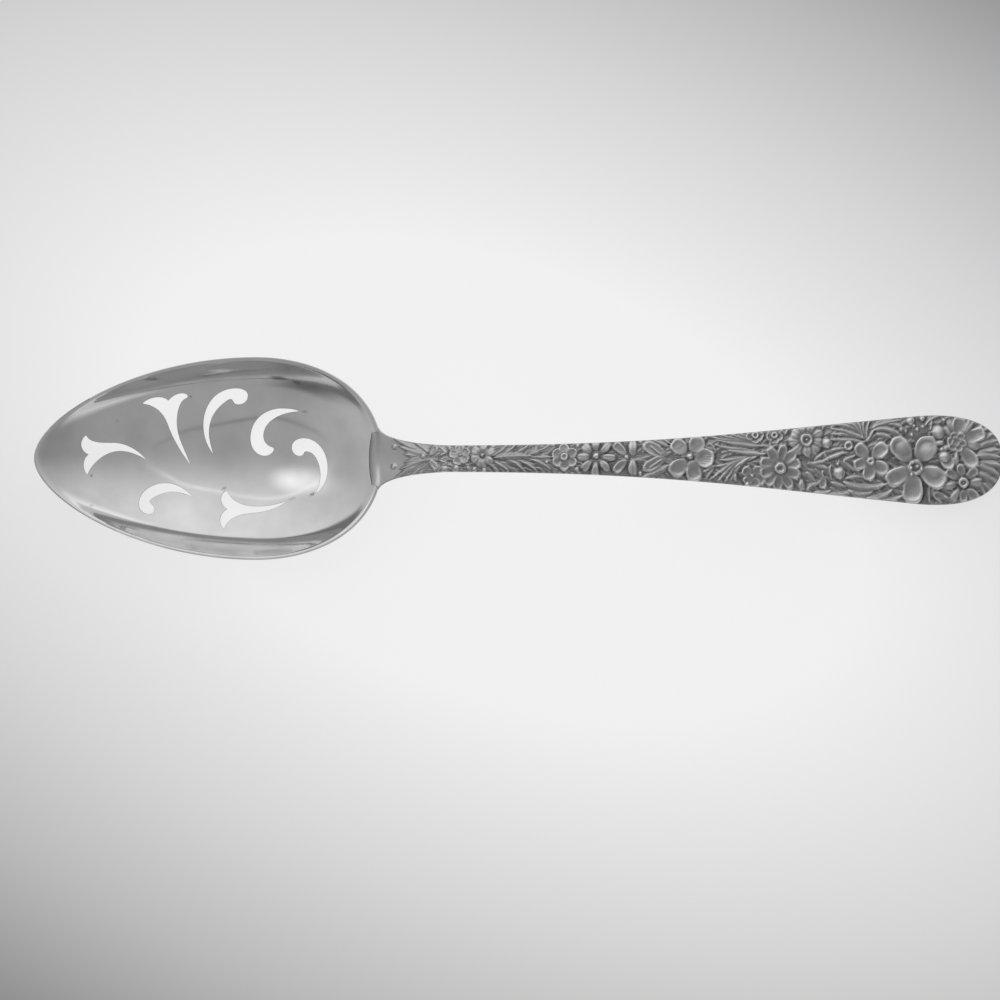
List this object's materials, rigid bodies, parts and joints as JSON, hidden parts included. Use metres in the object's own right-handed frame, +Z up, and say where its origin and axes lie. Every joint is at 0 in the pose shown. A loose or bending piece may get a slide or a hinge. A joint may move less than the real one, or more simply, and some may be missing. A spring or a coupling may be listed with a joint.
{
  "type": "pierced serving spoon",
  "caption": "Silver serving spoon with an egg-shaped bowl pierced by scrolls and a flat arched handle covered in flowers and leaves in relief.",
  "frame": {"origin": "centre of the bounding box, on the plane that the spoon lies on", "axes": "+X along the spoon from the bowl's tip to the handle's end, +Z up out of the bowl"},
  "size_m": [0.216, 0.045, 0.0239],
  "materials": {
    "polished_silver": "polished sterling silver with fine wear",
    "oxidised_silver": "sterling silver in relief, bright on the high places and dark in the ground"
  },
  "bodies": {
    "root": {"bowl": "polished_silver", "handle": "oxidised_silver"}
  },
  "joints": []
}
